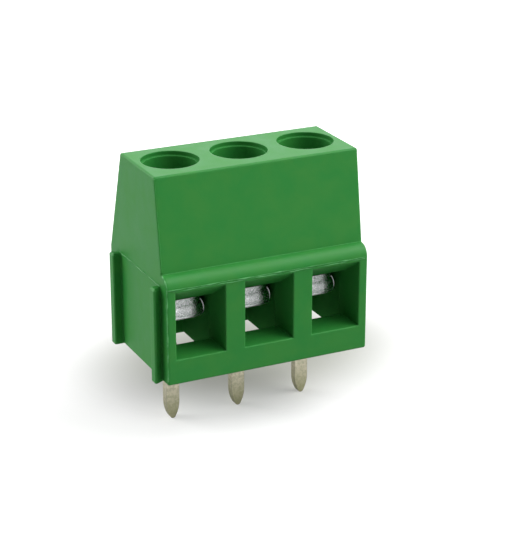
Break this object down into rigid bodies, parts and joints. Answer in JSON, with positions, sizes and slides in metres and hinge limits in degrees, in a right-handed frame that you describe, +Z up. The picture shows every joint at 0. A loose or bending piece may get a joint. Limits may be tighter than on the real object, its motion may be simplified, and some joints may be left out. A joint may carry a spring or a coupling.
{
  "type": "terminal block",
  "caption": "Board-mounted screw terminal block with rising-cage wire clamps, flat solder pins and dovetail ends that join blocks into longer rows.",
  "frame": {"origin": "on the board's surface, in the middle of the row of solder pins", "axes": "+X along the row of poles to the right as seen from the wire side, +Y to the back, +Z up out of the board"},
  "size_m": [0.0158, 0.0102, 0.0193],
  "materials": {
    "housing_plastic": "green moulded polyamide, satin",
    "tinned_brass": "dull tin plating",
    "zinc_cage": "bright zinc plating on steel",
    "zinc_screw": "bright zinc plating on steel"
  },
  "bodies": {
    "housing": {"housing": "housing_plastic", "contact_1": "tinned_brass", "contact_2": "tinned_brass", "contact_3": "tinned_brass"},
    "screw_1": {"clamp_screw_1": "zinc_screw"},
    "cage_1": {"clamp_cage_1": "zinc_cage"},
    "screw_2": {"clamp_screw_2": "zinc_screw"},
    "cage_2": {"clamp_cage_2": "zinc_cage"},
    "screw_3": {"clamp_screw_3": "zinc_screw"},
    "cage_3": {"clamp_cage_3": "zinc_cage"}
  },
  "joints": [
    {"name": "screw_turn_1", "type": "hinge", "parent": "housing", "child": "screw_1", "pos_m": [-0.00508, -0.00055, 0], "axis": [0, 0, 1], "range_deg": [0, 1980]},
    {"name": "cage_lift_1", "type": "slide", "parent": "housing", "child": "cage_1", "axis": [0, 0, 1], "range_m": [-0.00248, 0]},
    {"name": "screw_turn_2", "type": "hinge", "parent": "housing", "child": "screw_2", "pos_m": [0, -0.00055, 0], "axis": [0, 0, 1], "range_deg": [0, 1980]},
    {"name": "cage_lift_2", "type": "slide", "parent": "housing", "child": "cage_2", "axis": [0, 0, 1], "range_m": [-0.00248, 0]},
    {"name": "screw_turn_3", "type": "hinge", "parent": "housing", "child": "screw_3", "pos_m": [0.00508, -0.00055, 0], "axis": [0, 0, 1], "range_deg": [0, 1980]},
    {"name": "cage_lift_3", "type": "slide", "parent": "housing", "child": "cage_3", "axis": [0, 0, 1], "range_m": [-0.00248, 0]}
  ],
  "couplings": [
    {"joint": "screw_turn_1", "follows": "cage_lift_1", "rad_per_m": -13963},
    {"joint": "screw_turn_2", "follows": "cage_lift_2", "rad_per_m": -13963},
    {"joint": "screw_turn_3", "follows": "cage_lift_3", "rad_per_m": -13963}
  ]
}
